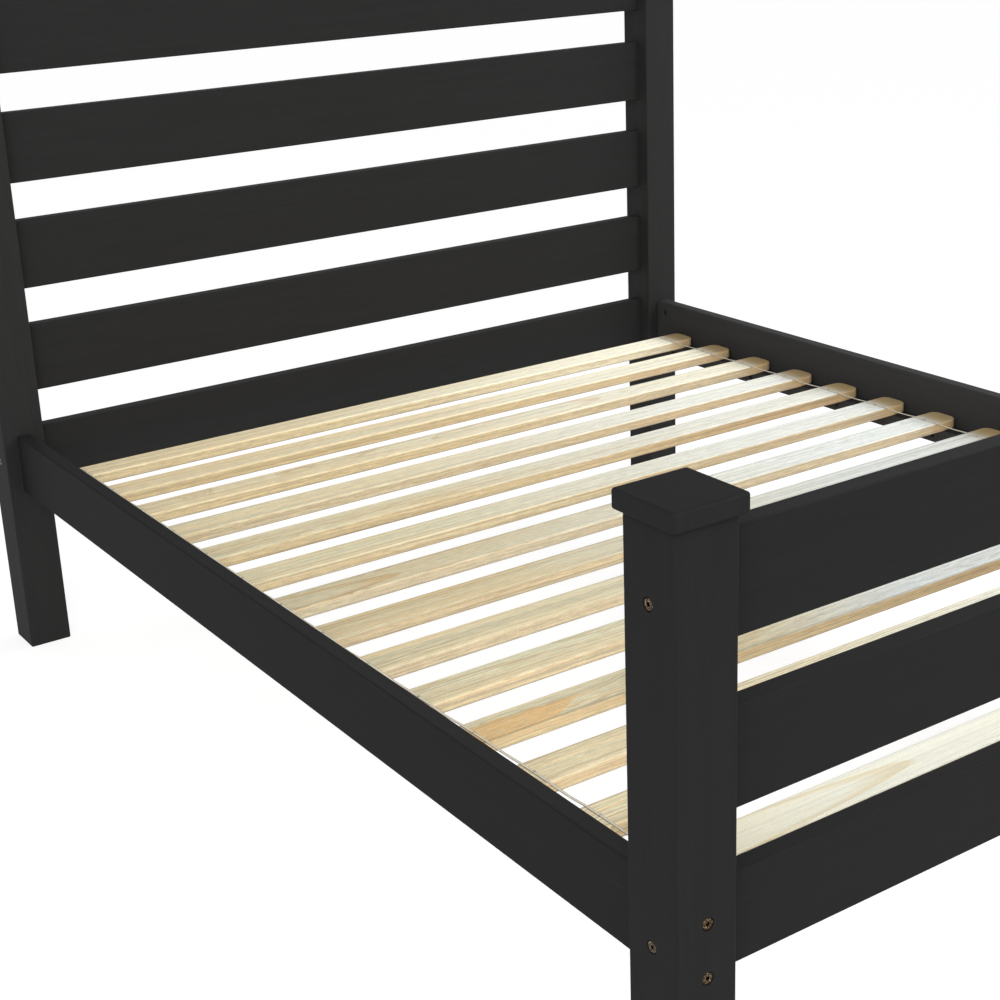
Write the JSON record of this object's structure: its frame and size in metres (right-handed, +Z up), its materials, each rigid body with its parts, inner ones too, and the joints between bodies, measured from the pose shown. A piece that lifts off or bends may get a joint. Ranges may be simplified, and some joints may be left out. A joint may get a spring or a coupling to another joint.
{
  "type": "bed frame",
  "caption": "Wooden double bed frame with square capped posts, open boarded headboard and footboard, side rails and loose cross slats on ledger strips.",
  "frame": {"origin": "on the floor, midway between the outer faces of the four posts", "axes": "+X to the right seen from the foot, across the bed; +Y to the head end; +Z up"},
  "size_m": [1.707, 2.161, 1.3275],
  "materials": {
    "black_paint": "black satin paint over pine, faint grain",
    "bare_pine": "planed bare pine",
    "bare_beech": "bare beech, chamfered ends",
    "woven_tape": "narrow woven tape",
    "bronzed_steel": "bronze plated, satin",
    "zinc_steel": "bright zinc plated"
  },
  "bodies": {
    "root": {"head_post_left": "black_paint", "head_post_cap_left": "black_paint", "foot_post_left": "black_paint", "foot_post_cap_left": "black_paint", "side_rail_left": "black_paint", "slat_ledger_left": "black_paint", "slat_tape_left": "woven_tape", "head_post_right": "black_paint", "head_post_cap_right": "black_paint", "foot_post_right": "black_paint", "foot_post_cap_right": "black_paint", "side_rail_right": "black_paint", "slat_ledger_right": "black_paint", "slat_tape_right": "woven_tape", "head_rail": "black_paint", "headboard_lower_board": "black_paint", "headboard_middle_board": "black_paint", "headboard_upper_board": "black_paint", "headboard_top_board": "black_paint", "foot_rail": "black_paint", "footboard_middle_board": "black_paint", "footboard_top_board": "black_paint", "slat_01": "bare_pine", "slat_02": "bare_pine", "slat_03": "bare_pine", "slat_04": "bare_pine", "slat_05": "bare_pine", "slat_06": "bare_pine", "slat_07": "bare_pine", "slat_08": "bare_pine", "slat_09": "bare_pine", "slat_10": "bare_pine", "slat_11": "bare_pine", "slat_12": "bare_pine", "slat_13": "bare_pine", "slat_14": "bare_pine", "tape_staples": "zinc_steel", "frame_bolts": "bronzed_steel", "barrel_nuts": "zinc_steel", "board_dowels": "bare_beech", "ledger_screws": "zinc_steel"}
  },
  "joints": []
}
